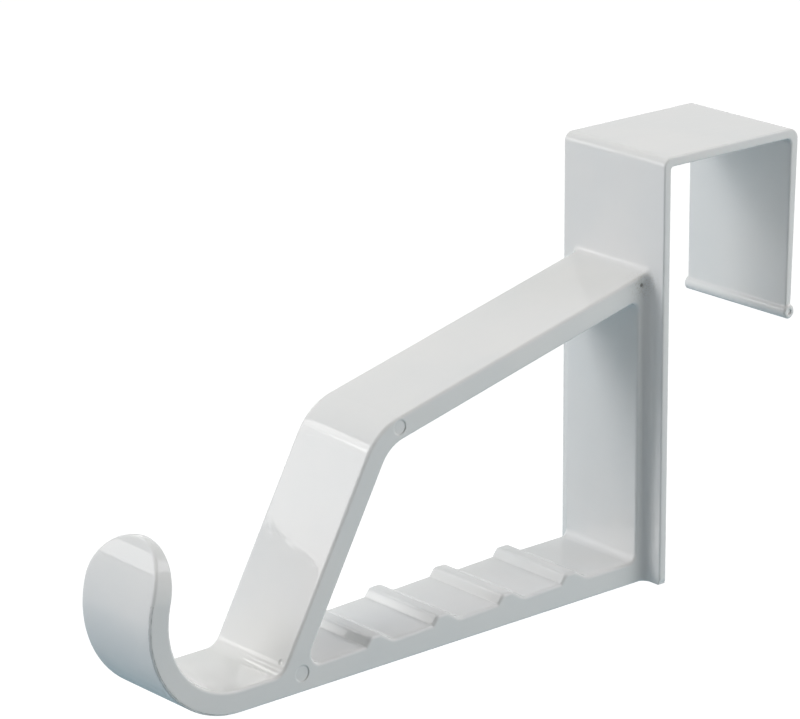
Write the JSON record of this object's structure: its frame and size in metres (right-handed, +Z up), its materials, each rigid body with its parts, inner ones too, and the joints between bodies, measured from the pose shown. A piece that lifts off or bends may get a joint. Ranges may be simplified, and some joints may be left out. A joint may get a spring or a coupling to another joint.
{
  "type": "over door hook",
  "caption": "Moulded over-the-door hook with a door clip, a closed slanted frame with a notched rail for hangers, and a rounded hook at the front.",
  "frame": {"origin": "middle of the underside of the clip's top plate, the face that sits on the top edge of the door", "axes": "+Y from the hook's tip towards the door and through it, +Z up, X along the width of the clip"},
  "size_m": [0.0348, 0.1941, 0.1061],
  "materials": {
    "white_plastic": "satin white moulded plastic"
  },
  "bodies": {
    "root": {"over_door_hook": "white_plastic"}
  },
  "joints": []
}
